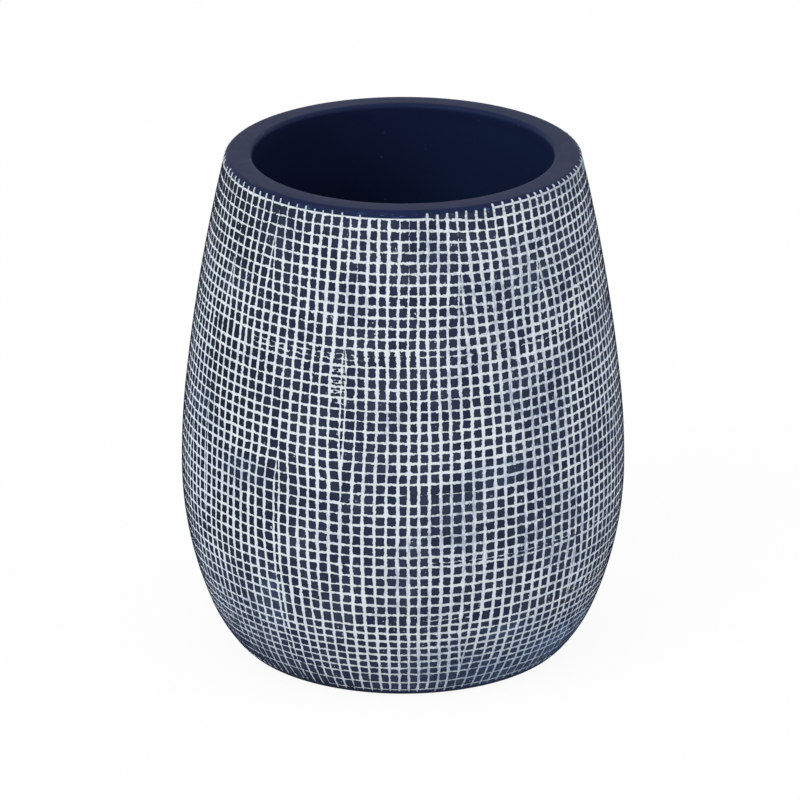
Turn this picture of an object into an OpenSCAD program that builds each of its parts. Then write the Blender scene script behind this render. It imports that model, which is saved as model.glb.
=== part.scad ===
/* [Body] */
// Height of the casting, from its foot to the flat of the lip
body_h = 103.5; // [90:0.5:125]
// Largest diameter, at the belly
belly_d = 90; // [80:0.5:110]
// Thickness of the side wall, square to its curve
wall = 5.4; // [3.5:0.1:7]
// Thickness of the floor above the foot
floor_t = 7; // [4.5:0.1:9]
// Rounding between the floor and the inside of the wall
floor_blend_r = 5; // [2:0.5:6]

/* [Wall curve] */
// Radius of the arc that rises from the belly
upper_r = 158; // [130:1:200]
// Sweep of that arc, in degrees
upper_sweep = 6; // [3:0.5:8]
// Radius of the flatter shoulder arc, from there to the lip
shoulder_r = 380; // [320:5:460]
// Radius of the arc that falls from the belly
lower_r = 75; // [65:1:85]
// Sweep of that arc, in degrees
lower_sweep = 22; // [16:0.5:26]
// Radius of the tighter heel arc, from there to the foot
heel_r = 29; // [24:0.5:34]
// Sweep of that arc, in degrees
heel_sweep = 21.5; // [16:0.5:26]

/* [Lip and foot] */
// Rounding of the lip's outer edge
lip_outer_r = 1.2; // [0.5:0.1:2]
// Rounding of the lip's inner edge
lip_inner_r = 0.9; // [0.5:0.1:2.4]
// Rounding of the foot's outer edge
foot_edge_r = 0.8; // [0.3:0.1:1.5]
// Width of the flat ring that stands round the foot recess
foot_ring_w = 5.5; // [3:0.5:8]
// Depth of the recess under the floor
recess_depth = 1.2; // [0.6:0.1:2]
// Slope of the recess's side, measured outwards
recess_draft = 0.5; // [0.1:0.1:1.5]

/* [Net] */
// Distance from one ring to the next, along the wall
net_pitch = 2.2; // [1.8:0.05:4]
// Number of upright lines round the cup
upright_count = 120; // [60:1:130]
// Width of a ring groove at the surface
ring_w = 0.85; // [0.5:0.05:1.2]
// Depth of a ring groove
ring_depth = 0.3; // [0.2:0.05:0.5]
// Width of an upright line
upright_w = 0.9; // [0.5:0.05:1.2]
// Distance from the lip's rounding to the first ring
net_lip_gap = 0.7; // [0.6:0.1:3]
// Distance from the foot's rounding to the last ring
net_foot_gap = 1.5; // [0.6:0.1:5]
// How far the uprights run past the first and last rings
upright_tip = 0.65; // [0.2:0.05:1]

/* [Foot pads] */
// Number of pads under the foot
pad_count = 4; // [3:1:6]
// Diameter of a pad
pad_d = 10; // [6:0.5:14]
// Thickness of a pad
pad_t = 1.5; // [1.2:0.1:2.5]
// Rounding of the pad's lower edge
pad_edge_r = 0.4; // [0.1:0.1:0.6]
// Thickness of the adhesive film that holds a pad
adhesive_t = 0.15; // [0.05:0.05:0.3]
// How far the adhesive film stays inside the pad's edge
adhesive_inset = 0.4; // [0.1:0.1:1]
// Distance from a pad to the recess's side
pad_gap = 1.5; // [0.5:0.1:4]

/* [Hidden] */
// Clearance between a paint line and the groove or wall that it lies on
paint_fit = 0.01;
// Thickness of the paint film of an upright line
paint_t = 0.08;
// How far the paint in a ring groove stays below the surface
paint_sink = 0.03;
// Each side of a groove leans out by this share of its width
groove_lean_share = 0.15;
// How far a cutting shape runs past the face that it cuts
cut_over = 1;
// Where the first pad stands, in degrees from the X axis
pad_start = 45;
// Straight steps in each rounding, and in each arc inside the wall
round_steps = 6;
inner_steps = 8;
body_color = [0.18, 0.21, 0.33];
line_color = [0.84, 0.87, 0.89];
pad_color = [0.12, 0.12, 0.13];
film_color = [0.85, 0.85, 0.8];
$fn = 160;

foot_z = pad_t + adhesive_t - recess_depth;
lip_z = foot_z + body_h;
belly_r = belly_d / 2;
belly_z = foot_z + lower_r * sin(lower_sweep)
    + heel_r * (sin(lower_sweep + heel_sweep) - sin(lower_sweep));

// Centres of the four arcs of the wall, each on the line that joins it to its neighbour
upper_c = [belly_r - upper_r, belly_z];
shoulder_c = upper_c - (shoulder_r - upper_r) * unit(upper_sweep);
lower_c = [belly_r - lower_r, belly_z];
heel_c = lower_c + (lower_r - heel_r) * unit(-lower_sweep);

lip_angle = asin((lip_z - shoulder_c.y) / shoulder_r);
foot_angle = asin((foot_z - heel_c.y) / heel_r);
upper_len = arc_len(upper_r, upper_sweep);
lower_len = arc_len(lower_r, lower_sweep);
lip_s = upper_len + arc_len(shoulder_r, lip_angle - upper_sweep);
foot_s = -lower_len - arc_len(heel_r, -lower_sweep - foot_angle);

floor_z = foot_z + floor_t;
floor_blend = min(floor_blend_r,
    (heel_c.y - floor_z - (heel_r - wall) * sin(lower_sweep)) / (1 - sin(lower_sweep)));

// Centres of the roundings, each at its own radius from both faces that it joins
foot_edge_c = [arc_r(heel_c, heel_r - foot_edge_r, foot_z + foot_edge_r), foot_z + foot_edge_r];
lip_outer_c = [arc_r(shoulder_c, shoulder_r - lip_outer_r, lip_z - lip_outer_r), lip_z - lip_outer_r];
lip_inner_c = [arc_r(shoulder_c, shoulder_r - wall + lip_inner_r, lip_z - lip_inner_r), lip_z - lip_inner_r];
floor_blend_c = [arc_r(heel_c, heel_r - wall - floor_blend, floor_z + floor_blend), floor_z + floor_blend];

net_top = lip_s - lip_outer_r - net_lip_gap;
net_bottom = foot_s + foot_edge_r + net_foot_gap;
ring_steps = round((net_top - net_bottom) / net_pitch);
ring_step = (net_top - net_bottom) / ring_steps;

recess_r = arc_r(heel_c, heel_r, foot_z) - foot_ring_w;
pad_ring_r = recess_r - recess_draft - pad_gap - pad_d / 2;

// Unit vector at an angle in the section's plane
function unit(a) = [cos(a), sin(a)];

// Length of an arc of radius r and sweep a
function arc_len(r, a) = r * a * PI / 180;

// Sweep of an arc of radius r and length s
function arc_sweep(r, s) = s / r * 180 / PI;

// Distance from the cup's axis to the arc of radius r about c, at the height z
function arc_r(c, r, z) = c.x + sqrt(r * r - (z - c.y) * (z - c.y));

// The same list from its last entry to its first
function reverse(list) = [for (i = [len(list) - 1:-1:0]) list[i]];

// Direction of b seen from a
function heading(a, b) = atan2(b.y - a.y, b.x - a.x);

// Points along an arc of radius r about c, from the angle a0 to a1 in n steps; the start is point 0
function arc_points(c, r, a0, a1, n, first = 0) =
    [for (i = [first:n]) c + r * unit(a0 + (a1 - a0) * i / n)];

// Half the width of a ring groove at the height h above the wall's surface
function groove_half(h) = ring_w * (1 / 2 + groove_lean_share * h / ring_depth);

// The four arcs of the wall, each as its centre, radius and two angles, cut off at low and high
function wall_arcs(low, high) = [
    [heel_c, heel_r, low, -lower_sweep],
    [lower_c, lower_r, -lower_sweep, 0],
    [upper_c, upper_r, 0, upper_sweep],
    [shoulder_c, shoulder_r, upper_sweep, high]
];

// The outward direction of the wall at the distance s along it, upwards from the belly
function wall_angle(s) =
    s > upper_len ? upper_sweep + arc_sweep(shoulder_r, s - upper_len)
    : s > 0 ? arc_sweep(upper_r, s)
    : s > -lower_len ? arc_sweep(lower_r, s)
    : -lower_sweep + arc_sweep(heel_r, s + lower_len);

// The point of the outer surface at the distance s along the wall
function wall_point(s) =
    s > upper_len ? shoulder_c + shoulder_r * unit(wall_angle(s))
    : s > 0 ? upper_c + upper_r * unit(wall_angle(s))
    : s > -lower_len ? lower_c + lower_r * unit(wall_angle(s))
    : heel_c + heel_r * unit(wall_angle(s));

// Outer side, from the foot's rounding past each ring of the net to the lip's rounding
outer_points = concat(
    arc_points(foot_edge_c, foot_edge_r, -90, heading(heel_c, foot_edge_c), round_steps),
    [for (i = [0:ring_steps]) wall_point(net_bottom + i * ring_step)],
    arc_points(lip_outer_c, lip_outer_r, heading(shoulder_c, lip_outer_c), 90, round_steps)
);

// Inner side, from the floor's rounding up to the lip's, at the wall's thickness from the outside
inner_points = concat(
    [[0, floor_z]],
    arc_points(floor_blend_c, floor_blend, -90, heading(heel_c, floor_blend_c), round_steps),
    [for (a = wall_arcs(heading(heel_c, floor_blend_c), heading(shoulder_c, lip_inner_c)))
        each arc_points(a[0], a[1] - wall, a[2], a[3], inner_steps, 1)],
    arc_points(lip_inner_c, lip_inner_r, 180 + heading(shoulder_c, lip_inner_c), 90, round_steps, 1)
);

// Underside, a shallow recess inside the foot ring
recess_points = [
    [0, foot_z + recess_depth],
    [recess_r - recess_draft, foot_z + recess_depth],
    [recess_r, foot_z]
];

// The section of one ring groove up to the height top, or with inset of the paint that fills it
module ring_section(s, top, inset) {
    low = inset - ring_depth;
    half_top = groove_half(top) - inset;
    half_low = groove_half(low) - inset;
    translate(wall_point(s))
        rotate(wall_angle(s))
            polygon([[low, -half_low], [top, -half_top], [top, half_top], [low, half_low]]);
}

module each_ring() {
    for (i = [0:ring_steps]) {
        $s = net_bottom + i * ring_step;
        children();
    }
}

// The casting, with a groove round it for each ring of the net
module cup_body() {
    color(body_color)
        rotate_extrude()
            difference() {
                polygon(concat(recess_points, outer_points, reverse(inner_points)));
                each_ring() ring_section($s, cut_over, 0);
            }
}

// White paint that fills the ring grooves
module ring_lines() {
    color(line_color)
        rotate_extrude()
            each_ring() ring_section($s, -paint_sink, paint_fit);
}

// A flat strip of width w and thickness t, bent along an arc in the upright plane
module bent_strip(c, r, a0, a1, w, t) {
    rotate([90, 0, 0])
        translate(c)
            rotate(a0)
                rotate_extrude(angle = a1 - a0)
                    translate([r, -w / 2])
                        square([t, w]);
}

// White paint in upright lines, which lie over the wall and cross the rings from lip to foot
module upright_lines() {
    low = wall_angle(net_bottom - upright_tip);
    high = wall_angle(net_top + upright_tip);
    color(line_color)
        for (i = [0:upright_count - 1])
            rotate(i * 360 / upright_count)
                for (a = wall_arcs(low, high))
                    bent_strip(a[0], a[1] + paint_fit, a[2], a[3], upright_w, paint_t);
}

// Places a piece of the pad with the given number under the floor's recess
module at_pad(i) {
    rotate(pad_start + (i - 1) * 360 / pad_count)
        translate([pad_ring_r, 0, 0])
            children();
}

// Round rubber pad with a rounded lower edge
module foot_pad(i) {
    edge_c = [pad_d / 2 - pad_edge_r, pad_edge_r];
    color(pad_color)
        at_pad(i)
            rotate_extrude()
                polygon(concat(
                    [[0, 0]],
                    arc_points(edge_c, pad_edge_r, -90, 0, round_steps),
                    [[pad_d / 2, pad_t], [0, pad_t]]
                ));
}

// Thin film of adhesive between a pad and the recess
module pad_adhesive(i) {
    color(film_color)
        at_pad(i)
            translate([0, 0, pad_t])
                cylinder(h = adhesive_t, r = pad_d / 2 - adhesive_inset);
}

cup_body();
ring_lines();
upright_lines();
for (i = [1:pad_count]) {
    foot_pad(i);
    pad_adhesive(i);
}
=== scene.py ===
import math
import random

import bpy
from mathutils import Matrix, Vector, noise


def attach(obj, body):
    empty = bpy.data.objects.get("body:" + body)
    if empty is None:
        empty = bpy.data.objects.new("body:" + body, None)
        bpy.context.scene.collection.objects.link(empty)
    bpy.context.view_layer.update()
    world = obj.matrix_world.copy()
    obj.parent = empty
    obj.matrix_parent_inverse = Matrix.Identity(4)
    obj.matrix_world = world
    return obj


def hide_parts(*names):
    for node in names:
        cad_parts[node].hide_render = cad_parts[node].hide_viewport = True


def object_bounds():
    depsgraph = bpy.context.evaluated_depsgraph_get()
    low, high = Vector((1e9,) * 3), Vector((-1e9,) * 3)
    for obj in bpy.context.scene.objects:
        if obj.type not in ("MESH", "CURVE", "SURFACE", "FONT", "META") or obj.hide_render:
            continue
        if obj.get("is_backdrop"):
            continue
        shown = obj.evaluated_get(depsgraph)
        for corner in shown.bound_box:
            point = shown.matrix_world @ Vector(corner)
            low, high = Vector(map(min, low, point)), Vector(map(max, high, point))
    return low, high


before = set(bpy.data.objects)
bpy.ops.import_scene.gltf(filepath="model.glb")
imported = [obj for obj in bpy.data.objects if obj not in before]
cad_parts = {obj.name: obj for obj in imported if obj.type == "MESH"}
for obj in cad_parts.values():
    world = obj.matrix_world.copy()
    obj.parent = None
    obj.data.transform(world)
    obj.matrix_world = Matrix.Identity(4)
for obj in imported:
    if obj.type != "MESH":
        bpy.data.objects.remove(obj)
cad_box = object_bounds()
scene = bpy.context.scene


# The camera stands far off, a little above the lip, and looks at the middle of the cup, so that
# the mouth shows as a flat ellipse and the upright sides hardly converge.
CAMERA_DISTANCE = 1.2
CAMERA_RISE = math.radians(21.37)
LOOK_HEIGHT = 0.05072
LENS_MM = 265.9
SIDE_SHIFT = -0.0038
camera = bpy.data.objects.new("camera", bpy.data.cameras.new("camera"))
camera.location = (
    0,
    -CAMERA_DISTANCE * math.cos(CAMERA_RISE),
    LOOK_HEIGHT + CAMERA_DISTANCE * math.sin(CAMERA_RISE),
)
camera.rotation_euler = (math.pi / 2 - CAMERA_RISE, 0, 0)
camera.data.sensor_width = 36
camera.data.lens = LENS_MM
camera.data.shift_x = SIDE_SHIFT
scene.collection.objects.link(camera)
scene.camera = camera


# The casting: one piece of polyresin, poured in a mould and left in its own navy colour, with a
# satin skin. Its wall is turned from four arcs, each tangent to the next. The belt that takes the
# net lies a little lower than the lip and the foot, and the squares of the net stand on it.
BELLY_R = 0.045
FOOT_Z = 0.00045
LIP_Z = 0.10395
WALL = 0.0054
FLOOR_Z = 0.00745
FLOOR_BLEND = 0.005
FOOT_EDGE = 0.0008
LIP_OUTER = 0.0012
LIP_INNER = 0.0009
FOOT_RING = 0.0055
RECESS_DEPTH = 0.0012
RECESS_DRAFT = 0.0005
RELIEF = 0.00001
PAINT_FILM = 0.00008
RINGS = 48
FIRST_RING_HALF = 0.00020
LAST_RING_HALF = 0.00040
LIP_GAP = 0.0007
FOOT_GAP = 0.0015
PROFILE_STEP = 0.0009
ROUNDING_STEP = 0.00015


def unit(angle):
    return Vector((math.cos(angle), math.sin(angle)))


def heading(start, end):
    return math.atan2(end.y - start.y, end.x - start.x)


def arc(centre, radius, start, end, step):
    """Points along an arc in the upright plane of the section, both ends included."""
    count = max(2, math.ceil(abs(end - start) * radius / step))
    return [centre + radius * unit(start + (end - start) * i / count) for i in range(count + 1)]


def radius_at(centre, radius, height):
    return centre.x + math.sqrt(radius**2 - (height - centre.y) ** 2)


# The four arcs from heel to shoulder, and the slopes of the wall's normal where one meets the next
RADII = (0.029, 0.075, 0.158, 0.380)
SWEEPS = [math.radians(a) for a in (-22, 0, 6)]
FOOT_SWEEP = math.radians(43.5)
under_belly = math.sin(SWEEPS[0])
belly_z = FOOT_Z - RADII[1] * under_belly + RADII[0] * (math.sin(FOOT_SWEEP) + under_belly)
upper_c = Vector((BELLY_R - RADII[2], belly_z))
shoulder_c = upper_c - (RADII[3] - RADII[2]) * unit(SWEEPS[2])
lower_c = Vector((BELLY_R - RADII[1], belly_z))
heel_c = lower_c + (RADII[1] - RADII[0]) * unit(SWEEPS[0])
CENTRES = (heel_c, lower_c, upper_c, shoulder_c)


def corner_centre(centre, radius, height):
    return Vector((radius_at(centre, radius, height), height))


def wall_side(low, high, sink, step):
    """Points up the wall between two directions of its normal, sunk by so much under the face."""
    bounds = [low, *SWEEPS, high]
    points = []
    for centre, radius, start, end in zip(CENTRES, RADII, bounds, bounds[1:]):
        points += arc(centre, radius - sink, start, end, step)[bool(points) :]
    return points


foot_edge_c = corner_centre(heel_c, RADII[0] - FOOT_EDGE, FOOT_Z + FOOT_EDGE)
lip_outer_c = corner_centre(shoulder_c, RADII[3] - LIP_OUTER, LIP_Z - LIP_OUTER)
lip_inner_c = corner_centre(shoulder_c, RADII[3] - WALL + LIP_INNER, LIP_Z - LIP_INNER)
floor_blend_c = corner_centre(heel_c, RADII[0] - WALL - FLOOR_BLEND, FLOOR_Z + FLOOR_BLEND)
foot_turn = heading(heel_c, foot_edge_c)
lip_turn = heading(shoulder_c, lip_outer_c)
floor_turn = heading(heel_c, floor_blend_c)
mouth_turn = heading(shoulder_c, lip_inner_c)
net_low = foot_turn + (FOOT_GAP - LAST_RING_HALF) / RADII[0]
net_high = lip_turn - (LIP_GAP - FIRST_RING_HALF) / RADII[3]
recess_r = radius_at(heel_c, RADII[0], FOOT_Z) - FOOT_RING


def right_angle(turns):
    return turns * math.pi / 2


casting_line = [
    Vector((0, FOOT_Z + RECESS_DEPTH)),
    Vector((recess_r - RECESS_DRAFT, FOOT_Z + RECESS_DEPTH)),
    Vector((recess_r, FOOT_Z)),
    *arc(foot_edge_c, FOOT_EDGE, right_angle(-1), foot_turn, ROUNDING_STEP),
    *arc(heel_c, RADII[0], foot_turn, net_low, ROUNDING_STEP)[1:],
    *wall_side(net_low, net_high, RELIEF + PAINT_FILM, PROFILE_STEP),
    *arc(shoulder_c, RADII[3], net_high, lip_turn, ROUNDING_STEP)[:-1],
    *arc(lip_outer_c, LIP_OUTER, lip_turn, right_angle(1), ROUNDING_STEP),
    *arc(lip_inner_c, LIP_INNER, right_angle(1), mouth_turn + math.pi, ROUNDING_STEP),
    *wall_side(floor_turn, mouth_turn, WALL, PROFILE_STEP)[-2::-1],
    *arc(floor_blend_c, FLOOR_BLEND, floor_turn, right_angle(-1), PROFILE_STEP)[1:],
    Vector((0, FLOOR_Z)),
]


class Wire:
    """An output socket of a node tree; each of Python's operators on it adds its Math node."""

    def __init__(self, tree, socket=None):
        self.tree = tree
        self.socket = socket

    def node(self, kind, settings=None, values=None, out=0):
        """Adds any node, sets it up, gives its inputs their values or links, and takes an output."""
        made = self.tree.nodes.new(kind)
        for name, value in (settings or {}).items():
            setattr(made, name, value)
        for key, value in (values or {}).items():
            if isinstance(value, Wire):
                self.tree.links.new(value.socket, made.inputs[key])
            else:
                made.inputs[key].default_value = value
        return Wire(self.tree, made.outputs[out])

    def other(self, out):
        return Wire(self.tree, self.socket.node.outputs[out])

    def math(self, operation, *others):
        """A Math node on this value and on others after it."""
        inputs = dict(enumerate((self, *others)))
        return self.node("ShaderNodeMath", {"operation": operation}, inputs)

    def __add__(self, other):
        return self.math("ADD", other)

    __radd__ = __add__

    def __sub__(self, other):
        return self.math("SUBTRACT", other)

    def __rsub__(self, other):
        return self.node("ShaderNodeMath", {"operation": "SUBTRACT"}, {0: other, 1: self})

    def __mul__(self, other):
        return self.math("MULTIPLY", other)

    __rmul__ = __mul__

    def __truediv__(self, other):
        return self.math("DIVIDE", other)

    def __pow__(self, other):
        return self.math("POWER", other)

    def __neg__(self):
        return self.math("MULTIPLY", -1)

    def within(self, low, high):
        """A smooth rise from 0 at low to 1 at high."""
        settings = {"interpolation_type": "SMOOTHSTEP"}
        return self.node("ShaderNodeMapRange", settings, {0: self, 1: low, 2: high, 3: 0, 4: 1})


def new_recipe(name, inputs):
    """A geometry tree with a mesh coming in, named inputs, and one mesh going out."""
    tree = bpy.data.node_groups.new(name, "GeometryNodeTree")
    for label, kind in (("Mesh", "Geometry"), *inputs):
        tree.interface.new_socket(label, in_out="INPUT", socket_type="NodeSocket" + kind)
    tree.interface.new_socket("Mesh", in_out="OUTPUT", socket_type="NodeSocketGeometry")
    start = tree.nodes.new("NodeGroupInput")
    return Wire(tree), {s.name: Wire(tree, s) for s in start.outputs if s.name}


def finish_recipe(mesh, material):
    """Ends a geometry tree as the export needs it: real faces, and their material."""
    real = mesh.node("GeometryNodeRealizeInstances", values={"Geometry": mesh})
    done = mesh.node("GeometryNodeSetMaterial", values={"Geometry": real, "Material": material})
    end = mesh.tree.nodes.new("NodeGroupOutput")
    mesh.tree.links.new(done.socket, end.inputs["Mesh"])


def grow(name, recipe, mesh, values):
    """Runs a geometry tree on a mesh once, and keeps the result as a plain object."""
    maker = bpy.data.objects.new(name + "_maker", mesh)
    scene.collection.objects.link(maker)
    run = maker.modifiers.new("grow", "NODES")
    run.node_group = recipe
    for socket in recipe.interface.items_tree:
        if socket.in_out == "INPUT" and socket.name in values:
            run[socket.identifier] = values[socket.name]
    grown = maker.evaluated_get(bpy.context.evaluated_depsgraph_get())
    piece = bpy.data.objects.new(name, bpy.data.meshes.new_from_object(grown))
    bpy.data.objects.remove(maker)
    scene.collection.objects.link(piece)
    return piece


# Turns a line in the upright plane round the cup's axis: each column of a grid takes the line's
# points, and edges that bend by more than the crease stay sharp
WELD = 0.000002
TURN_STEPS = 256
CREASE = math.radians(32)
turned, given = new_recipe("turned", [("Steps", "Int"), ("Crease", "Float"), ("Finish", "Material")])
size = turned.node("GeometryNodeAttributeDomainSize", values={"Geometry": given["Mesh"]})
grid = turned.node(
    "GeometryNodeMeshGrid",
    values={"Vertices X": given["Steps"] + 1, "Vertices Y": size},
)
index = turned.node("GeometryNodeInputIndex")
column = (index / size + 0.0001).math("FLOOR")
point = turned.node(
    "GeometryNodeSampleIndex",
    {"data_type": "FLOAT_VECTOR"},
    {
        "Geometry": given["Mesh"],
        "Value": turned.node("GeometryNodeInputPosition"),
        "Index": index - column * size,
    },
)
point = turned.node("ShaderNodeSeparateXYZ", values={0: point})
turn = column * (2 * math.pi) / given["Steps"]
place = turned.node(
    "ShaderNodeCombineXYZ",
    values={
        "X": point * turn.math("COSINE"),
        "Y": point * turn.math("SINE"),
        "Z": point.other("Z"),
    },
)
shape = turned.node("GeometryNodeSetPosition", values={"Geometry": grid, "Position": place})
shape = turned.node("GeometryNodeMergeByDistance", values={"Geometry": shape, "Distance": WELD})
shape = turned.node("GeometryNodeSetShadeSmooth", values={"Geometry": shape})
bend = turned.node("GeometryNodeInputMeshEdgeAngle")
smooth = turned.node(
    "FunctionNodeCompare", {"operation": "LESS_THAN"}, {0: bend, 1: given["Crease"]}
)
shape = turned.node(
    "GeometryNodeSetShadeSmooth", {"domain": "EDGE"}, {"Geometry": shape, "Shade Smooth": smooth}
)
finish_recipe(shape, given["Finish"])


def line_mesh(name, points):
    """A mesh of the section's points in the upright plane, joined in a row."""
    mesh = bpy.data.meshes.new(name)
    joints = [(i, i + 1) for i in range(len(points) - 1)]
    mesh.from_pydata([(p.x, 0, p.y) for p in points], joints, [])
    return mesh


def new_finish(name):
    """An empty material and the wires of its tree."""
    finish = bpy.data.materials.new(name)
    finish.use_nodes = True
    finish.node_tree.nodes.clear()
    return finish, Wire(finish.node_tree)


def show(wires, surface):
    made = wires.tree.nodes.new("ShaderNodeOutputMaterial")
    wires.tree.links.new(surface.socket, made.inputs["Surface"])


def skin_of(wires, colour, roughness, strength, depth, height, specular=0.5):
    """Ends a material: its colour, its roughness and a fine relief of a depth in metres."""
    relief = {"Strength": strength, "Distance": depth, "Height": height}
    values = {
        "Base Color": colour,
        "Roughness": roughness,
        "Specular IOR Level": specular,
        "Normal": wires.node("ShaderNodeBump", values=relief),
    }
    show(wires, wires.node("ShaderNodeBsdfPrincipled", values=values))


def cloud(wires, place, scale, detail=2.0, roughness=0.5):
    """Soft random values from 0 to 1; scale is in patches per metre."""
    values = {"Vector": place, "Scale": scale, "Detail": detail, "Roughness": roughness}
    return wires.node("ShaderNodeTexNoise", values=values)


def blend(wires, share, first, second):
    """One colour over another."""
    return wires.node("ShaderNodeMix", {"data_type": "RGBA"}, {0: share, 6: first, 7: second}, out=2)


def stretch(wires, place, along):
    """Scales a place by so much along each axis; less than 1 draws a pattern out that way."""
    return wires.node("ShaderNodeVectorMath", {"operation": "MULTIPLY"}, {0: place, 1: along})


# Navy on the outside and the lip, in two mottled tones; the clean inside has painted shade on its
# left and painted light on its right
NAVY = (0.0100, 0.0170, 0.0540, 1)
NAVY_DEEP = (0.0075, 0.0135, 0.0450, 1)
INSIDE_PAINTED_SHADE = (0.0080, 0.0125, 0.0450, 1)
INSIDE_PAINTED_LIGHT = (0.0105, 0.0210, 0.0670, 1)
STROKE_BLUE = (0.050, 0.105, 0.270, 1)
DUST = (0.20, 0.23, 0.30, 1)
resin, wires = new_finish("satin_navy_resin")
place = wires.node("ShaderNodeTexCoord", out="Object")
spot = wires.node("ShaderNodeSeparateXYZ", values={0: place})
back, high = spot.other("Y"), spot.other("Z")
mottle = cloud(wires, place, 90, 3)
specks = cloud(wires, place, 1400, 1).within(0.77, 0.81)
from_axis = (spot * spot + back * back) ** 0.5
inside = (1 - from_axis.within(0.0300, 0.0310)) + (1 - high.within(0.0995, 0.1025))
# Painted shade and light: the inside is coloured darker on the left and bluer and lighter on the
# right
inside_shade_and_light = blend(wires, (spot + mottle * 0.01).within(-0.02, 0.025), INSIDE_PAINTED_SHADE, INSIDE_PAINTED_LIGHT)
colour = blend(wires, mottle.within(0.35, 0.7), NAVY, NAVY_DEEP)
colour = blend(wires, inside.math("MINIMUM", 1), colour, inside_shade_and_light)
colour = blend(wires, specks * 0.25, colour, DUST)
by_lip = high.within(0.1012, 0.1020) * (1 - high.within(0.1031, 0.1036))
strokes = cloud(wires, stretch(wires, place, (1, 1, 3)), 620, 3, 0.65).within(0.55, 0.68)
strokes = strokes * by_lip * (-back).within(0.022, 0.031)
colour = blend(wires, strokes * 0.75, colour, STROKE_BLUE)
skin = cloud(wires, place, 2600, 3) * 0.5 + cloud(wires, place, 260, 2)
roughness = 0.44 + 0.10 * cloud(wires, place, 600, 2)
skin_of(wires, colour, roughness, 0.12, 0.00012, skin, specular=0.06)

casting = grow(
    "casting",
    turned.tree,
    line_mesh("casting_line", casting_line),
    {"Steps": TURN_STEPS, "Crease": CREASE, "Finish": resin},
)
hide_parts("cup_body")
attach(casting, "root")


# The paint: white water-based paint, brushed over the casting and wiped off the squares, so that
# it stays as a thin film on the belt between them. It is thin in patches, darkened towards the right
# as painted shade, bluish at the foot, and smeared in two patches on the front.
paint_line = [
    *wall_side(net_low, net_high, RELIEF, PROFILE_STEP),
    *wall_side(net_low, net_high, RELIEF + PAINT_FILM, PROFILE_STEP)[::-1],
]
paint_line.append(paint_line[0])

PAINT = (0.660, 0.722, 0.757, 1)
PAINT_THIN_AND_SHADED = (0.290, 0.355, 0.460, 1)
PAINT_BLUISH = (0.230, 0.345, 0.540, 1)
PAINT_COOL_LIGHT = (0.620, 0.730, 0.880, 1)
LEFT_SMEAR = (-0.0320, -0.0310, 0.0480)
RIGHT_SMEAR = (0.0180, -0.0406, 0.0507)


def patch(wires, place, middle, reach):
    """1 at a place and 0 beyond its reach, half as tall as it is wide."""
    away = wires.node("ShaderNodeVectorMath", {"operation": "SUBTRACT"}, {0: place, 1: middle})
    away = stretch(wires, away, (1, 1, 2))
    away = wires.node("ShaderNodeVectorMath", {"operation": "LENGTH"}, {0: away}, out="Value")
    return 1 - away.within(reach * 0.4, reach)


paint, wires = new_finish("wiped_white_paint")
place = wires.node("ShaderNodeTexCoord", out="Object")
spot = wires.node("ShaderNodeSeparateXYZ", values={0: place})
high = spot.other("Z")
right_side, left_side = spot.within(-0.005, 0.035), (-spot).within(0.015, 0.038)
far_left_painted_light = (-spot).within(0.034, 0.043) * (-spot.other("Y")).within(0, 0.014)
at_foot, heel = 1 - high.within(0.004, 0.020), 1 - high.within(0.010, 0.036)
# Painted shade: the right side is added to the real thin patches, so the paint is coloured darker
# and bluer towards the right
thinness_and_shade = (cloud(wires, place, 75, 4, 0.6) + right_side * 0.18).within(0.45, 0.80)
streak = cloud(wires, stretch(wires, place, (1, 1, 0.3)), 2200, 3, 0.6).within(0.40, 0.60)
colour = blend(wires, (thinness_and_shade + 0.12) * (0.15 + 0.85 * streak), PAINT, PAINT_THIN_AND_SHADED)
bluish = at_foot * (0.10 + 0.52 * right_side) + heel * left_side * 0.33
colour = blend(wires, bluish, colour, PAINT_BLUISH)
# Painted light: the paint on the far left edge of the front is tinted cooler and bluer
colour = blend(wires, far_left_painted_light * 0.7, colour, PAINT_COOL_LIGHT)
wiped = cloud(wires, stretch(wires, place, (0.2, 0.2, 1)), 1300, 2).within(0.42, 0.58)
smeared = patch(wires, place, LEFT_SMEAR, 0.009) + patch(wires, place, RIGHT_SMEAR, 0.010)
colour = blend(wires, smeared * (0.08 + 0.4 * wiped), colour, PAINT_BLUISH)
grain = cloud(wires, place, 3200, 3, 0.6)
skin_of(wires, colour, 0.62 + 0.15 * grain, 0.35, 0.00008, grain)

net_paint = grow(
    "net_paint",
    turned.tree,
    line_mesh("paint_line", paint_line),
    {"Steps": TURN_STEPS, "Crease": CREASE, "Finish": paint},
)
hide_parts("ring_lines", "upright_lines")
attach(net_paint, "root")


# The squares of the net: small flat islands of the casting itself, left standing between the
# grooves of a hand-cut net. Rings are close to level; uprights run from lip to foot, and where the
# cup widens new ones open between them, so that pairs of lines part and meet again.
FINE_STEP = 0.0003
side = wall_side(foot_turn, lip_turn, 0, FINE_STEP)


def wall_curve():
    """The outside of the section from the foot's rounding to the lip's, as a curve."""
    points = [
        *arc(foot_edge_c, FOOT_EDGE, right_angle(-1), foot_turn, ROUNDING_STEP),
        *side[1:],
        *arc(lip_outer_c, LIP_OUTER, lip_turn, right_angle(1), ROUNDING_STEP)[1:],
    ]
    curve = bpy.data.curves.new("wall_line", "CURVE")
    curve.dimensions = "3D"
    line = curve.splines.new("POLY")
    line.points.add(len(points) - 1)
    for spot, p in zip(line.points, points):
        spot.co = (p.x, 0, p.y, 1)
    made = bpy.data.objects.new("wall_line", curve)
    scene.collection.objects.link(made)
    return made


def length_of(points):
    return sum((b - a).length for a, b in zip(points, points[1:]))


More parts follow.
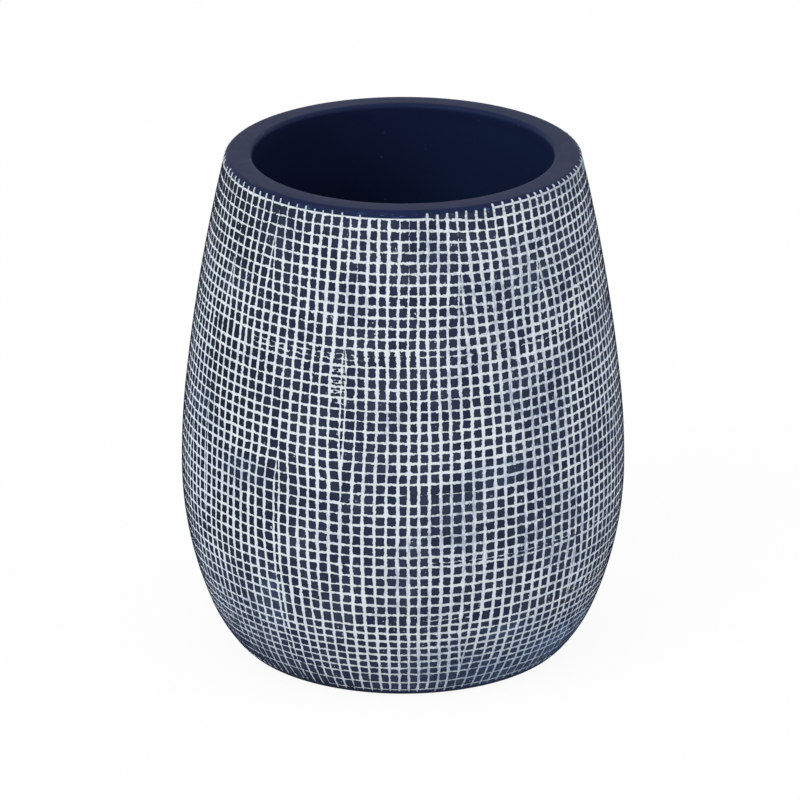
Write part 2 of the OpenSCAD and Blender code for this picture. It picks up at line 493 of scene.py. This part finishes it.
# Lengths up the wall from the foot's lowest point
wall_line = wall_curve()
net_start = FOOT_EDGE * (foot_turn + right_angle(1))
side_length = length_of(side)
first_ring = net_start + side_length - LIP_GAP
last_ring = net_start + FOOT_GAP
net_length = first_ring - last_ring

# Lays a small tile with ragged edges over the wall for each face of a flat mesh: a disc with a
# rim, drawn out to the face's four corners, shaken by noise and bent round the wall. Its faces lie
# at a top height off the wall, and its rim goes down to a bottom height and slopes outwards.
tiles, given = new_recipe(
    "tiles",
    [
        ("Wall", "Object"),
        ("Sides", "Int"),
        *((label, "Float") for label in ("Top", "Bottom", "Slope", "Ragged", "Fineness")),
        ("Seed", "Int"),
        ("Finish", "Material"),
    ],
)
index = tiles.node("GeometryNodeInputIndex")
position = tiles.node("GeometryNodeInputPosition")


def store(geometry, name, value, kind, domain):
    """Stores a value on a geometry under a name."""
    values = {"Geometry": geometry, "Name": name, "Value": value}
    settings = {"data_type": kind, "domain": domain}
    return geometry.node("GeometryNodeStoreNamedAttribute", settings, values)


outline = given["Mesh"]
for i in range(4):
    corner = tiles.node(
        "GeometryNodeFieldAtIndex",
        {"data_type": "FLOAT_VECTOR", "domain": "POINT"},
        {"Value": position, "Index": index * 4 + i},
    )
    outline = store(outline, f"corner_{i}", corner, "FLOAT_VECTOR", "FACE")
chance = tiles.node(
    "FunctionNodeRandomValue",
    {"data_type": "FLOAT"},
    {2: 0.0, 3: 1.0, 7: index, 8: given["Seed"]},
    out=1,
)
outline = store(outline, "tone", chance, "FLOAT", "FACE")
spots = tiles.node("GeometryNodeMeshToPoints", {"mode": "FACES"}, {"Mesh": outline})
disc = tiles.node(
    "GeometryNodeMeshCircle",
    {"fill_type": "TRIANGLE_FAN"},
    {"Vertices": given["Sides"], "Radius": 1.0},
)
rim = tiles.node("GeometryNodeInputMeshEdgeNeighbors")
rim = tiles.node("FunctionNodeCompare", {"data_type": "INT", "operation": "EQUAL"}, {2: rim, 3: 1})
tile = tiles.node(
    "GeometryNodeExtrudeMesh",
    {"mode": "EDGES"},
    {"Mesh": disc, "Selection": rim, "Offset": (0, 0, -1), "Offset Scale": 1.0},
)
tile = store(tile, "unit", position, "FLOAT_VECTOR", "POINT")
set_out = tiles.node("GeometryNodeInstanceOnPoints", values={"Points": spots, "Instance": tile})
real = tiles.node("GeometryNodeRealizeInstances", values={"Geometry": set_out})


def stored(name):
    settings = {"data_type": "FLOAT_VECTOR"}
    return tiles.node("GeometryNodeInputNamedAttribute", settings, {"Name": name})


def between(share, first, second):
    settings = {"data_type": "VECTOR", "clamp_factor": False}
    return tiles.node("ShaderNodeMix", settings, {0: share, 4: first, 5: second}, out=1)


# The disc becomes nearly a square: 1 would give square corners, and less rounds them
SQUARENESS = 0.93
local = tiles.node("ShaderNodeSeparateXYZ", values={0: stored("unit")})
local_y, local_z = local.other("Y"), local.other("Z")
largest = local.math("ABSOLUTE").math("MAXIMUM", local_y.math("ABSOLUTE"))
across = local / largest**SQUARENESS * 0.5 + 0.5
upward = local_y / largest**SQUARENESS * 0.5 + 0.5
low_side = between(across, stored("corner_0"), stored("corner_1"))
high_side = between(across, stored("corner_3"), stored("corner_2"))
flat = between(upward, low_side, high_side)
shake = tiles.node(
    "ShaderNodeTexNoise",
    values={"Vector": flat, "Scale": given["Fineness"], "Detail": 3.0, "Roughness": 0.65},
    out="Color",
)
middle = {0: shake, 1: (0.5, 0.5, 0.5)}
shake = tiles.node("ShaderNodeVectorMath", {"operation": "SUBTRACT"}, middle)
shake = tiles.node("ShaderNodeSeparateXYZ", values={0: shake})
flat = tiles.node("ShaderNodeSeparateXYZ", values={0: flat})
spread = -local_z * given["Slope"]
flat_x = flat + shake * given["Ragged"] + local * spread
flat_y = flat.other("Y") + shake.other("Y") * given["Ragged"] + local_y * spread
height = given["Top"] + (given["Top"] - given["Bottom"]) * local_z

# Over the wall, flat x becomes an angle round it, flat y a length up it
wall = tiles.node("GeometryNodeObjectInfo", values={"Object": given["Wall"]}, out="Geometry")
under = tiles.node(
    "GeometryNodeSampleCurve",
    {"mode": "LENGTH", "use_all_curves": True},
    {"Curves": wall, "Length": flat_y},
    out="Position",
)
way = tiles.node("ShaderNodeSeparateXYZ", values={0: under.other("Tangent")})
under = tiles.node("ShaderNodeSeparateXYZ", values={0: under})
turn = flat_x / BELLY_R
reach = under + way.other("Z") * height
values = {
    "X": reach * turn.math("SINE"),
    "Y": -reach * turn.math("COSINE"),
    "Z": under.other("Z") - way * height,
}
place = tiles.node("ShaderNodeCombineXYZ", values=values)
real = tiles.node("GeometryNodeSetPosition", values={"Geometry": real, "Position": place})
real = tiles.node("GeometryNodeSetShadeSmooth", values={"Geometry": real, "Shade Smooth": False})
finish_recipe(real, given["Finish"])

# The plan of the net. Turns are azimuths in degrees, 0 at the front and rising to the right, and
# depths are millimetres down the wall from the first ring.
MM = 0.001
COLUMNS = 108
ROWS = RINGS - 1
TALL_ROW = 12
luck = random.Random(11)


def ease(low, high, x):
    """0 below low, 1 above high, and a smooth rise between them."""
    share = min(max((x - low) / (high - low), 0), 1)
    return share * share * (3 - 2 * share)


# Extra columns of squares: turn, then the depths where the column begins to open, is open, begins
# to close and is closed, then its full width in whole columns. Those at the back are drawn by luck.
NEVER = (300, 301)
extra_columns = [
    (-84, 3, 12, 86, 100, 1),
    (-74, 46, 60, *NEVER, 1),
    (-64, 42, 50, 62, 72, 0.45),
    (-61, 7, 28, 82, 100, 1),
    (-42.5, 2, 20, *NEVER, 1),
    (-35.5, 48, 56, *NEVER, 0.60),
    (-17.5, 27, 30, 42, 56, 0.47),
    (19, 3, 32, 84, 101, 1),
    (46, 8, 22, *NEVER, 1),
    (52, 70, 76, 80, 86, 0.45),
    (63.5, 12, 32, 83, 100, 1),
    (76, 44, 58, *NEVER, 1),
    (85, 4, 12, 88, 100, 1),
]
for i in range(11):
    turn = 98 + 15.5 * i + luck.uniform(-4, 4)
    opens = luck.uniform(1, 36)
    closes = luck.choice((NEVER[0], luck.uniform(80, 86)))
    turn -= 360 * (turn > 180)
    extra_columns.append((turn, opens, opens + luck.uniform(6, 22), closes, closes + 15, 1))
every_column = sorted(
    [(-180 + 360 * (i + 0.5) / COLUMNS, -2, -1, *NEVER, 1) for i in range(COLUMNS)] + extra_columns
)
own_widths = [luck.uniform(0.92, 1.08) for _ in every_column]


def column_widths(depth):
    """Width of each column at a depth, in whole columns."""
    return [
        share * own * ease(open_0, open_1, depth) * (1 - ease(close_0, close_1, depth))
        for (_, open_0, open_1, close_0, close_1, share), own in zip(every_column, own_widths)
    ]


def even_turns(depth):
    """The turn of each column's left side, with the circle shared out evenly, and the widths."""
    widths = column_widths(depth)
    turns, so_far = [], 0
    for width in widths:
        turns.append(-180 + 360 * so_far / sum(widths))
        so_far += width
    return turns, widths


# Height of the rows that aren't the usual one: first row, last row, height in usual rows
UNEVEN_ROWS = [
    (0, 11, 0.98),
    (TALL_ROW, TALL_ROW, 1.60),
    (17, 22, 0.945),
    (37, 37, 1.25),
    (38, 44, 0.865),
    (45, 46, 1.32),
]
ring_depths = [0.0]
for row in range(ROWS):
    own = [tall for first, last, tall in UNEVEN_ROWS if first <= row <= last]
    ring_depths.append(ring_depths[-1] + (own[0] if own else 1))
ring_depths = [d * net_length / MM / ring_depths[-1] for d in ring_depths]


NEIGHBOURS = 9
MIDDLE_DEPTH = 45
middle_turns, _ = even_turns(MIDDLE_DEPTH)


def wander(seed, x, y):
    """A smooth random value from about -1 to 1 over a flat place."""
    return noise.noise(Vector((x, y, seed * 7.31)))


def upright_turns(depth):
    """The turn of the line to the left of each column at a depth, and the columns' widths. A column
    that opens pushes only its neighbours aside, so that lines further off run straight down."""
    turns, widths = even_turns(depth)
    drift = [a - b for a, b in zip(turns, middle_turns)]
    count, placed = len(turns), []
    for i, turn in enumerate(turns):
        near = [drift[(i + k) % count] for k in range(-NEIGHBOURS, NEIGHBOURS + 1)]
        bow = 0.35 * wander(5, turn / 9, depth / 26)
        placed.append(turn - sum(near) / len(near) + bow)
    return placed + [placed[0] + 360], widths


# On the right the first ring drops, and a short extra ring runs above its old level
EXTRA_START, EXTRA_END = 29, 112
EXTRA_RISE = 0.75
# The rise of the last ring fades out over so many rows. Squares with no ring beyond them run past
# the end of the net by so many half widths of its ring.
FOOT_ROWS = 7
RUN_PAST = 1.2


def drop(turn):
    """How far the first ring has dropped at a turn, in millimetres."""
    return 1.25 * ease(4, 30, turn) * (1 - ease(100, 150, turn))


def rise(turn):
    """How far the last ring has risen off the foot at a turn, in millimetres."""
    right = ease(8, 42, turn) * (1 - ease(95, 140, turn))
    left = ease(-140, -95, turn) * (1 - ease(-42, -20, turn))
    return 0.35 + 0.9 * right + 0.7 * left


def ring_place(ring, turn):
    """Length up the wall of a ring at a turn; rings aren't quite level."""
    x = math.cos(math.radians(turn)) * 2.2
    y = math.sin(math.radians(turn)) * 2.2
    sag = 0.12 * wander(ring * 0.04, x, y) + 0.045 * wander(ring * 0.23, x * 5, y * 5)
    if ring < 0:
        return first_ring - (sag - EXTRA_RISE) * MM
    if ring > ROWS:
        return last_ring - LAST_RING_HALF * RUN_PAST
    sag += drop(turn) * max(0, 1 - ring / TALL_ROW)
    sag -= rise(turn) * max(0, 1 - (ROWS - ring) / FOOT_ROWS)
    return first_ring - (ring_depths[ring] + sag) * MM


def depth_of(ring):
    return ring_depths[min(max(ring, 0), ROWS)]


def wall_radius(along):
    """Radius of the wall at a length up it."""
    last = len(side) - 1
    return side[min(int((along - net_start) / (side_length / last)), last)].x


# Rows whose squares are cut in bars: row, turns from and to, where the cuts are in shares of the
# row's height, the paint's width between two bars in millimetres, and how far the bars are notched
BARRED = [
    (TALL_ROW, -180, -62, (0.62,), 0.45, 0),
    (TALL_ROW, -47, -14, (0.34, 0.67), 0.26, 0.08),
    (TALL_ROW, -14, 3, (0.36, 0.55, 0.68), -0.05, 0.15),
    (TALL_ROW, 3, 180, (0.62,), 0.34, 0),
    (13, -19, -16, (0.35, 0.65), 0.14, 0.25),
    (14, -19, -16, (0.3, 0.6), 0.14, 0.25),
    (15, -19, -16, (0.4, 0.7), 0.14, 0.25),
    (16, -19, -16, (0.5,), 0.14, 0.2),
    (31, 7, 34, (0.36,), 0.24, 0.05),
    (31, 34, 66, (0.40,), 0.17, 0.08),
    (37, 4, 19, (0.5,), 0.22, 0.05),
    (37, 49, 78, (0.5,), 0.22, 0.05),
]
# Places where a line hardly took the paint: first and last row or ring, turns from and to, and the
# share of its width that is left
FAINT_UPRIGHTS = [
    (0, 1, -2.5, 0.6, 0.5),
    (0, 5, 0.6, 3.7, 0.15),
    (4, 5, -14, -11, 0.2),
    (23, 24, 27, 30, 0.2),
]
FAINT_RINGS = [
    (25, 25, 0, 18, 0.15),
    (26, 26, 4, 9, 0.3),
    (15, 15, -9, -4, 0.2),
    (0, 0, -8, -2, 0.1),
    (ROWS, ROWS, -75, -31, -0.8),
    (ROWS, ROWS, -31, -19, 0.6),
]
# Usual widths in millimetres of the lines, of the thinnest upright and of the narrowest square
UPRIGHT_WIDTH = 0.58
RING_LINE_WIDTH = 0.41
THINNEST = 0.13
NARROWEST = 0.16


def share_left(faint, line, turn):
    for first, last, start, end, share in faint:
        if first <= line <= last and start < turn < end:
            return share * (1 + 1.5 * wander(9, line * 3.7, turn))
    return 1


def paint_load(turn, depth, seed):
    """How much paint the brush left at a place: more makes both kinds of line wider."""
    load = 0.8 * wander(seed, turn / 14, depth / 11) + 0.7 * wander(seed + 1, turn / 4, depth / 4)
    load += 0.5 * wander(seed + 2, turn / 1.7, depth / 45)
    # Round the cup: more on the right than on the left of the front
    load += 0.6 * ease(-10, 40, turn) - 0.2 * ease(48, 70, turn) + 0.3 * (1 - ease(-65, -40, turn))
    # Low down: more at the front, and less and less on the heel
    in_front = 1 - ease(10, 25, abs(turn))
    load += 0.3 * ease(60, 75, depth) * in_front
    load -= 0.25 * ease(86, 98, depth) * ease(8, 40, abs(turn))
    load -= 0.4 * ease(86, 95, depth) + 0.4 * ease(94, 102, depth)
    # By the lip: more at the front, less at the left, and little beside the first ring
    by_lip = 1 - ease(8, 25, depth)
    load += by_lip * (0.3 * in_front - 0.1 * ease(5, 25, turn))
    load -= by_lip * 0.65 * ease(-85, -65, turn) * (1 - ease(-50, -15, turn))
    return load - 0.4 * (1 - ease(1, 9, depth))


def half_upright(row, turn, depth, width):
    """Half the width of an upright in millimetres; beside a narrow column it is a thin one, and
    under the last ring there is none, so that the squares run together."""
    if row == ROWS:
        return -0.1
    narrow = 0.45 + 0.55 * min(1, width / 0.9)
    share = share_left(FAINT_UPRIGHTS, row, turn) * (1 - 0.14 * ease(76, 90, depth))
    return max(THINNEST, UPRIGHT_WIDTH + 0.20 * paint_load(turn, depth, 1)) * narrow * share / 2


def half_ring(ring, turn, depth):
    """Half the width of a ring in millimetres; less than 0 lets the square run past the ring."""
    if ring < 0:
        return FIRST_RING_HALF / MM * (1 if EXTRA_START < turn < EXTRA_END else -RUN_PAST)
    if ring > ROWS:
        return 0
    usual = RING_LINE_WIDTH + 0.16 * paint_load(turn, depth, 12) + 0.06 * ease(82, 94, depth)
    half = FIRST_RING_HALF / MM if ring == 0 else usual / 2
    return half * share_left(FAINT_RINGS, ring, turn)


def squares_of(row):
    """The turn and the corners of each square of a row, flat: across at the belly, up the wall."""
    found = []
    lines = [upright_turns(depth_of(row + i)) for i in (1, 0)]
    depth = (depth_of(row) + depth_of(row + 1)) / 2
    scale = BELLY_R / wall_radius(first_ring - depth * MM)
    widths = [max(pair) for pair in zip(lines[0][1], lines[1][1])]
    for i, width in enumerate(widths):
        if width < 0.05:
            continue
        corners = []
        for (turns, _), ring, up in ((lines[0], row + 1, 1), (lines[1], row, -1)):
            left, right = turns[i], turns[i + 1]
            beside = widths[(i + 1) % len(widths)], widths[i - 1]
            half_left = half_upright(row, left, depth, min(width, beside[1] or 1)) * scale
            half_right = half_upright(row, right, depth, min(width, beside[0] or 1)) * scale
            left = math.radians(left) * BELLY_R + half_left * MM
            right = math.radians(right) * BELLY_R - half_right * MM
            if right - left < NARROWEST * MM:
                left, right = [(left + right + way * NARROWEST * MM) / 2 for way in (-1, 1)]
            for x in (left, right):
                turn = math.degrees(x / BELLY_R)
                y = ring_place(ring, turn) + up * half_ring(ring, turn, depth) * MM
                corners.append([x + luck.gauss(0, 0.055) * MM, y + luck.gauss(0, 0.05) * MM])
        # A square shows once its column is a quarter open and its row has room
        room = {-1: drop(turn), ROWS: rise(turn)}.get(row, 1)
        if width > 0.25 and room > 0.15:
            middle = (turns[i] + turns[i + 1]) / 2
            found.append((middle, [corners[k] for k in (0, 1, 3, 2)]))
    return found


def cut_in_bars(corners, cuts, gap, notch):
    """Cuts a square into bars, some of them joined at one side, every other one notched in."""
    low_l, low_r, high_r, high_l = (Vector(c) for c in corners)
    tall = (high_l - low_l).length / MM
    sides = [(0, 0, 0, 0)]
    for cut in cuts:
        lean = luck.uniform(-0.035, 0.035)
        gaps = [gap / tall * share for share in (luck.choice((-0.3, 0.7)), 1)]
        luck.shuffle(gaps)
        sides.append((cut - lean, cut + lean, *gaps))
    sides.append((1, 1, 0, 0))
    for k, (start, end) in enumerate(zip(sides, sides[1:])):
        inset = (high_r - high_l) * notch * luck.uniform(0.4, 1.2) * (k % 2)
        yield [
            low_l.lerp(high_l, start[0] + start[2] / 2) + inset,
            low_r.lerp(high_r, start[1] + start[3] / 2) - inset,
            low_r.lerp(high_r, end[1] - end[3] / 2) - inset,
            low_l.lerp(high_l, end[0] - end[2] / 2) + inset,
        ]


def flat_mesh(name, quads):
    """A mesh of loose four-sided faces, flat in the net's own plane."""
    mesh = bpy.data.meshes.new(name)
    corners = [(c[0], c[1], 0) for quad in quads for c in quad]
    mesh.from_pydata(corners, [], [tuple(range(4 * i, 4 * i + 4)) for i in range(len(quads))])
    return mesh


# Navy with a haze of paint and painted shade at the left, smeared in three places and wet at the
# foot, with pinholes full of paint, and edges where it shows white
SQUARE = (0.0158, 0.0222, 0.0490, 1)
SQUARE_HAZE = (0.043, 0.056, 0.092, 1)
SQUARE_PAINTED_SHADE = (0.0085, 0.0120, 0.0220, 1)
SMEAR = (0.115, 0.180, 0.330, 1)
FOOT_SMEAR = (0.0200, -0.0345, 0.0163)
square_resin, wires = new_finish("wiped_navy_resin")
place = wires.node("ShaderNodeTexCoord", out="Object")
spot = wires.node("ShaderNodeSeparateXYZ", values={0: place})
high = spot.other("Z")
left_side = (-spot).within(0.015, 0.038)
at_foot, heel = 1 - high.within(0.002, 0.018), 1 - high.within(0.010, 0.036)
tone = wires.node("ShaderNodeAttribute", {"attribute_name": "tone"}, out="Fac")
haze = cloud(wires, place, 120, 3).within(0.35, 0.75) * 0.45 + tone * 0.25
colour = blend(wires, haze, SQUARE, SQUARE_HAZE)
# Painted shade: the squares at the front left are coloured darker and less blue
painted_shade_left = left_side * (1 - heel) * (-spot.other("Y")).within(0, 0.014)
colour = blend(wires, painted_shade_left * 0.75, colour, SQUARE_PAINTED_SHADE)
wiped = cloud(wires, place, 900, 3, 0.6).within(0.62, 0.80)
colour = blend(wires, wiped * 0.12, colour, SMEAR)
wet = cloud(wires, place, 45, 2).within(0.64, 0.76) + at_foot * (0.15 + spot.within(-0.01, 0.03))
wet = wet + 0.3 * patch(wires, place, LEFT_SMEAR, 0.008)
wet = wet + 0.3 * patch(wires, place, RIGHT_SMEAR, 0.008)
wet = wet + 0.9 * patch(wires, place, FOOT_SMEAR, 0.008) + 0.35 * heel * left_side
brushed = cloud(wires, stretch(wires, place, (1, 1, 0.4)), 900, 3, 0.6).within(0.40, 0.65)
colour = blend(wires, wet * (0.25 + 0.75 * brushed) * 0.35, colour, SMEAR)
holes = cloud(wires, place, 1900, 1).within(0.750, 0.768) * (tone.within(0.60, 0.70) + heel * 0.5)
colour = blend(wires, holes.math("MINIMUM", 1), colour, PAINT)
unit_place = wires.node("ShaderNodeAttribute", {"attribute_name": "unit"}, out="Vector")
down = -wires.node("ShaderNodeSeparateXYZ", values={0: unit_place}, out="Z")
edge = (down * (0.5 + cloud(wires, place, 2200, 2))).within(0.30, 0.60)
colour = blend(wires, edge, colour, PAINT)
roughness = 0.46 + 0.12 * cloud(wires, place, 500, 2) + 0.15 * edge
skin_of(wires, colour, roughness, 0.2, 0.0001, cloud(wires, place, 3000, 3), specular=0.01)

BANDS = {"upper": range(-1, 16), "middle": range(16, 32), "lower": range(32, ROWS + 1)}
for band, rows in BANDS.items():
    quads = []
    for row in rows:
        cuts = [b for b in BARRED if b[0] == row]
        for turn, corners in squares_of(row):
            chosen = [b for b in cuts if b[1] <= turn < b[2]]
            quads += cut_in_bars(corners, *chosen[0][3:]) if chosen else [corners]
    squares = grow(
        f"net_squares_{band}",
        tiles.tree,
        flat_mesh(band, quads),
        {
            "Wall": wall_line,
            "Sides": 24,
            "Top": 0.00001,
            "Bottom": -RELIEF - PAINT_FILM / 2,
            "Slope": 0.00006,
            "Ragged": 0.00105 if band == "upper" else 0.00085,
            "Fineness": 2500.0,
            "Seed": 3,
            "Finish": square_resin,
        },
    )
    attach(squares, "root")


# The ends of the uprights: small dabs of the same white paint, drawn out past the first and last
# rings over the smooth navy edge by the wiping, some long and bright and some hardly there. The
# short extra ring at the top right was drawn the same way.
DABS = 3
OVERLAP = 0.06


def dabs(low, high, half_low, half_high):
    """A stroke from one flat place to another as a chain of overlapping four-sided dabs."""
    low, high = Vector(low), Vector(high)
    across = Vector((high.y - low.y, low.x - high.x)).normalized()
    for k in range(DABS):
        start, end = max(0, k / DABS - OVERLAP), min(1, (k + 1) / DABS + OVERLAP)
        a, b = low.lerp(high, start), low.lerp(high, end)
        side_a = across * (half_low + (half_high - half_low) * start)
        side_b = across * (half_low + (half_high - half_low) * end)
        yield [a - side_a, a + side_a, b + side_b, b - side_b]


# No end runs past the top of the lip's rounding. Widths are drawn at the belly's scale, and an end
# is thinner by these shares at the foot and at its tip.
highest_tip = net_start + side_length + 1.05 * MM
lip_scale = BELLY_R / wall_radius(first_ring)
FOOT_SHARE = 0.7
TIP_SHARE = 0.8
quads = []
for ring, way in ((0, 1), (ROWS, -1)):
    turns, widths = upright_turns(ring_depths[ring])
    for turn, width in zip(turns, widths):
        bare = -13 < turn < 5 and way > 0
        if width < 0.5 or luck.random() < (0.6 if bare else 0.06):
            continue
        bold = ease(-5, 12, turn) * (1 - ease(60, 100, turn))
        slim = 1 - ease(-55, -30, turn)
        reach = (luck.uniform(0.35, 0.75) + 0.25 * bold + 0.45 * slim) * (0.4 if bare else 1) * MM
        half = (luck.uniform(0.15, 0.21) + 0.11 * bold + 0.06 * slim) * MM * lip_scale
        x = math.radians(turn) * BELLY_R + luck.gauss(0, 0.04) * MM
        at = ring_place(ring, turn)
        if way > 0:
            reach += (drop(turn) + (EXTRA_RISE if EXTRA_START < turn < EXTRA_END else 0)) * MM
        tip = x + luck.gauss(0, 0.06) * MM, min(at + way * (0.2 * MM + reach), highest_tip)
        if way > 0:
            quads += dabs((x, at), tip, half, half * TIP_SHARE)
        else:
            quads += dabs(tip, (x, at), half * FOOT_SHARE * TIP_SHARE, half * FOOT_SHARE)
turns, _ = upright_turns(0)
for start, end in zip(turns, turns[1:]):
    if start > EXTRA_START and end < EXTRA_END:
        places = [(math.radians(t) * BELLY_R, ring_place(-1, t)) for t in (end, start)]
        quads += dabs(*places, FIRST_RING_HALF, FIRST_RING_HALF)
ends = grow(
    "upright_ends",
    tiles.tree,
    flat_mesh("ends", quads),
    {
        "Wall": wall_line,
        "Sides": 12,
        "Top": 0.00004,
        "Bottom": -0.00004,
        "Slope": 0.00005,
        "Ragged": 0.00018,
        "Fineness": 2400.0,
        "Seed": 5,
        "Finish": paint,
    },
)
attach(ends, "root")
bpy.data.objects.remove(wall_line)


# The foot pads: four round pads of firm black rubber, cut from sheet and stuck in the recess. The
# pads and their films keep the shape that model.glb gives them, and get their own finishes.
RUBBER = (0.022, 0.022, 0.025, 1)
RUBBER_WORN = (0.060, 0.060, 0.064, 1)
rubber, wires = new_finish("black_rubber")
place = wires.node("ShaderNodeTexCoord", out="Object")
pores = cloud(wires, place, 2400, 2)
colour = blend(wires, cloud(wires, place, 500, 4).within(0.45, 0.75), RUBBER, RUBBER_WORN)
skin_of(wires, colour, 0.75 + 0.15 * pores, 0.5, 0.0001, pores)

FILM = (0.62, 0.58, 0.46, 1)
FILM_EDGE = (0.42, 0.38, 0.28, 1)
film, wires = new_finish("adhesive_film")
place = wires.node("ShaderNodeTexCoord", out="Object")
bubbles = cloud(wires, place, 1500, 2)
colour = blend(wires, bubbles.within(0.45, 0.65), FILM, FILM_EDGE)
skin_of(wires, colour, 0.22 + 0.15 * bubbles, 0.3, 0.00005, bubbles)

for name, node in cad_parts.items():
    if name.startswith(("foot_pad", "pad_adhesive")):
        node.data.materials.clear()
        node.data.materials.append(rubber if name.startswith("foot_pad") else film)


# The studio: a pale floor, a white room, and two large soft lamps, the stronger one high at the
# front left, so that it shines over the front of the lip on the back wall, and one at the right.
# The room is white where it is seen, also in a reflection, and lights the cup a little less
ROOM_LIGHT = 0.75
world = bpy.data.worlds.new("room")
scene.world = world
world.use_nodes = True
world.node_tree.nodes.clear()
wires = Wire(world.node_tree)
ray = wires.node("ShaderNodeLightPath", out="Is Camera Ray")
seen = ray.math("MAXIMUM", ray.other("Is Glossy Ray"))
seen = seen.math("MAXIMUM", ray.other("Is Transmission Ray"))
light = wires.node(
    "ShaderNodeBackground",
    values={"Color": (1, 1, 1, 1), "Strength": ROOM_LIGHT + seen * (1 - ROOM_LIGHT)},
)
made = world.node_tree.nodes.new("ShaderNodeOutputWorld")
world.node_tree.links.new(light.socket, made.inputs["Surface"])

# The floor is matt board that shows the camera mostly white, with a trace of the cup's shadow
FLOOR_HALF = 3.0
SHOWN_WHITE = 0.93
BOARD_GREY = (0.91, 0.91, 0.91, 1)
BOARD_PALE = (0.94, 0.94, 0.94, 1)
floor_mesh = bpy.data.meshes.new("floor")
corners = [(x * FLOOR_HALF, y * FLOOR_HALF, 0) for x, y in ((-1, -1), (1, -1), (1, 1), (-1, 1))]
floor_mesh.from_pydata(corners, [], [(0, 1, 2, 3)])
floor = bpy.data.objects.new("floor", floor_mesh)
scene.collection.objects.link(floor)
board, wires = new_finish("white_board")
place = wires.node("ShaderNodeTexCoord", out="Object")
ray = wires.node("ShaderNodeLightPath", out="Is Camera Ray")
colour = blend(wires, cloud(wires, place, 3, 2), BOARD_GREY, BOARD_PALE)
matt = wires.node("ShaderNodeBsdfDiffuse", values={"Color": colour})
white = wires.node("ShaderNodeEmission", values={"Color": (1, 1, 1, 1), "Strength": 1.0})
show(wires, wires.node("ShaderNodeMixShader", values={0: ray * SHOWN_WHITE, 1: matt, 2: white}))
floor_mesh.materials.append(board)
floor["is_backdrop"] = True


def soft_lamp(name, place, size, power):
    """A square lamp that faces the cup."""
    lamp = bpy.data.lights.new(name, "AREA")
    lamp.shape, lamp.size, lamp.energy = "SQUARE", size, power
    made = bpy.data.objects.new(name, lamp)
    made.location = place
    away = Vector(place) - Vector((0, 0, LOOK_HEIGHT))
    made.rotation_euler = away.to_track_quat("Z", "Y").to_euler()
    scene.collection.objects.link(made)


soft_lamp("front_lamp", (-0.65, -0.70, 0.75), 0.7, 5.5)
soft_lamp("right_lamp", (0.85, -0.30, 0.60), 0.6, 2.3)
scene.view_settings.view_transform = "Standard"

low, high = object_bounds()
{"cad": [list(c) for c in cad_box], "visual": [list(low), list(high)]}
